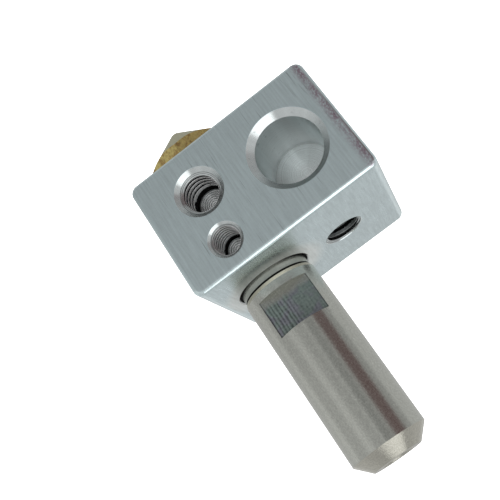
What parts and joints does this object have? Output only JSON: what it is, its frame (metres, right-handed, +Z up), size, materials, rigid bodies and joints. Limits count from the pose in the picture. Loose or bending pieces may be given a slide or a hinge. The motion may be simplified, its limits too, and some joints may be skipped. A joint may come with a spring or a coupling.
{
  "type": "hotend assembly",
  "caption": "Hotend of a filament printer: heater block with sensor threads, a screwed-in brass nozzle and a steel throat with wrench flats.",
  "frame": {"origin": "centre of the nozzle's outlet, at the nozzle's tip", "axes": "+Z up along the filament axis, from the nozzle to the throat's free end; the block's front face with the heater bore looks along -Y"},
  "size_m": [0.0194, 0.0175, 0.0383],
  "materials": {
    "block_aluminium": "fine brushed satin",
    "nozzle_brass": "turned, slightly heat-darkened",
    "throat_steel": "satin turned stainless"
  },
  "bodies": {
    "throat": {"throat_tube": "throat_steel"},
    "block": {"heater_block": "block_aluminium"},
    "nozzle": {"nozzle": "nozzle_brass"}
  },
  "joints": [
    {"name": "block_unscrew", "type": "slide", "parent": "throat", "child": "block", "axis": [0, 0, 1], "range_m": [-0.0063, 0]},
    {"name": "nozzle_unscrew", "type": "slide", "parent": "block", "child": "nozzle", "axis": [0, 0, 1], "range_m": [-0.0063, 0]}
  ]
}
